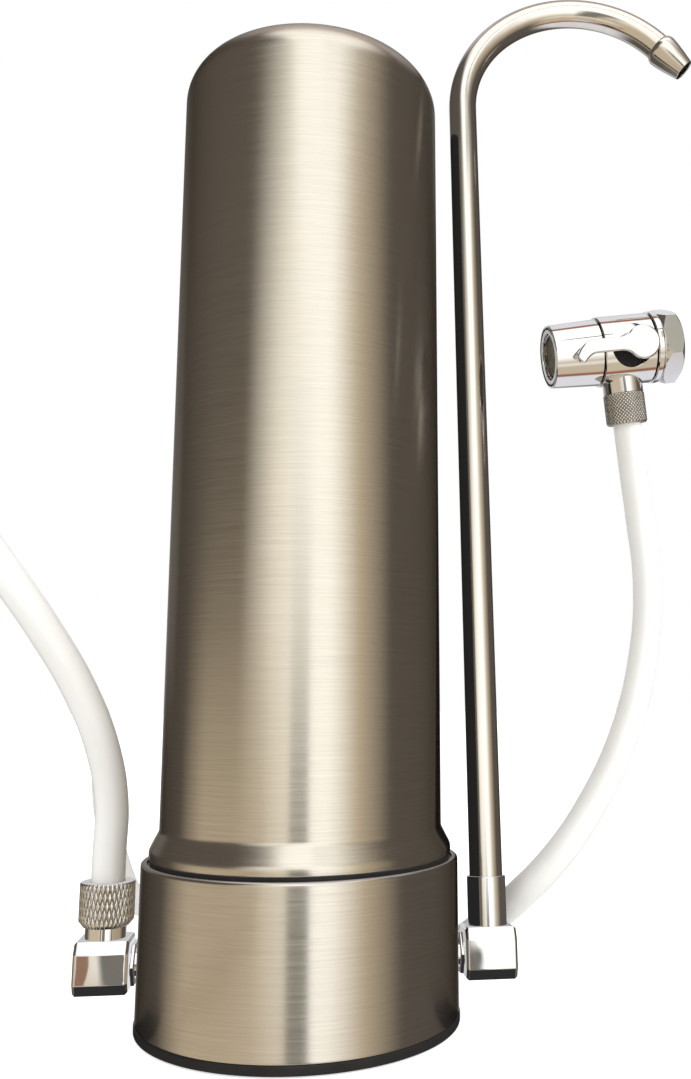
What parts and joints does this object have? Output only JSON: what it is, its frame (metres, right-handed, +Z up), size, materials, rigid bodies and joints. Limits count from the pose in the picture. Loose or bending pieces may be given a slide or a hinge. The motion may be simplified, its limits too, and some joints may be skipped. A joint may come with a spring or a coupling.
{
  "type": "countertop water filter",
  "caption": "Steel canister water filter on a round base, with a turning gooseneck spout, a white feed hose and a lever diverter valve that screws onto a kitchen tap.",
  "frame": {"origin": "centre of the foot pad's underside, on the canister's axis, on the table", "axes": "+Z up along the canister; +X towards the outlet and spout; -X towards the inlet; -Y towards the viewer in the picture"},
  "size_m": [0.3083, 0.2408, 0.4084],
  "materials": {
    "canister_steel": "brushed round the canister, warm",
    "sleeve_steel": "fine brushed, bright",
    "spout_steel": "polished stainless tube",
    "chrome": "bright chrome plate",
    "rubber": "matt black",
    "black_plastic": "moulded black ABS",
    "white_plastic": "moulded white",
    "hose": "glossy warm white",
    "carbon": "pressed carbon",
    "wrap": "white fleece",
    "collar_metal": "turned",
    "zinc": "zinc plated",
    "brass": "turned"
  },
  "bodies": {
    "base": {"foot_pad": "rubber", "base_plate": "black_plastic", "base_screws": "zinc", "base_sleeve": "sleeve_steel", "base_head": "black_plastic", "rim_gasket": "rubber", "canister_seal": "rubber", "cartridge_bottom_gasket": "rubber", "cartridge_bottom_cap": "white_plastic", "cartridge_core": "white_plastic", "carbon_block": "carbon", "cartridge_wrap": "wrap", "cartridge_top_cap": "white_plastic", "cartridge_top_gasket": "rubber", "inlet_washer": "rubber", "inlet_hex": "chrome", "inlet_elbow": "chrome", "inlet_hose_nut": "chrome", "outlet_washer": "rubber", "outlet_hex": "chrome", "outlet_elbow": "chrome", "spout_socket": "chrome", "hose": "hose", "diverter_hose_nut": "chrome", "diverter_port": "chrome", "diverter_body": "chrome", "diverter_outlet": "chrome", "aerator_core": "white_plastic", "aerator_screen": "zinc", "valve_seat": "rubber", "tap_nut_clip": "zinc", "tap_washer": "rubber"},
    "press": {"pressure_plate": "white_plastic", "pressure_spring": "zinc"},
    "canister": {"canister_shell": "canister_steel", "canister_collar": "collar_metal"},
    "spout": {"spout_plug": "brass", "spout_seals": "rubber", "spout_tube": "spout_steel", "spout_nozzle": "spout_steel"},
    "lever": {"lever": "chrome", "lever_shaft": "brass", "lever_seal": "rubber"},
    "shuttle": {"valve_shuttle": "white_plastic"},
    "tap_nut": {"tap_nut": "chrome"}
  },
  "joints": [
    {"name": "canister_lift", "type": "slide", "parent": "base", "child": "press", "axis": [0, 0, 1], "range_m": [0, 0.012]},
    {"name": "canister_turn", "type": "hinge", "parent": "press", "child": "canister", "pos_m": [0, 0, 0.2], "axis": [0, 0, 1], "range_deg": [0, 1440]},
    {"name": "spout_swivel", "type": "hinge", "parent": "base", "child": "spout", "pos_m": [0.0638, 0, 0.0195], "axis": [0, 0.0915, 0.9958], "continuous": true},
    {"name": "lever_turn", "type": "hinge", "parent": "base", "child": "lever", "pos_m": [0.12686, 0.012, 0.24054], "axis": [0.0182, -0.9903, -0.138], "range_deg": [0, 90]},
    {"name": "shuttle_slide", "type": "slide", "parent": "base", "child": "shuttle", "axis": [-0.9914, 0, -0.1305], "range_m": [0, 0.00255]},
    {"name": "tap_nut_spin", "type": "hinge", "parent": "base", "child": "tap_nut", "pos_m": [0.14054, 0.012, 0.24234], "axis": [0.9914, 0, 0.1305], "continuous": true}
  ],
  "couplings": [
    {"joint": "canister_lift", "follows": "canister_turn", "m_per_rad": 0.000477},
    {"joint": "shuttle_slide", "follows": "lever_turn", "m_per_rad": 0.00162}
  ]
}
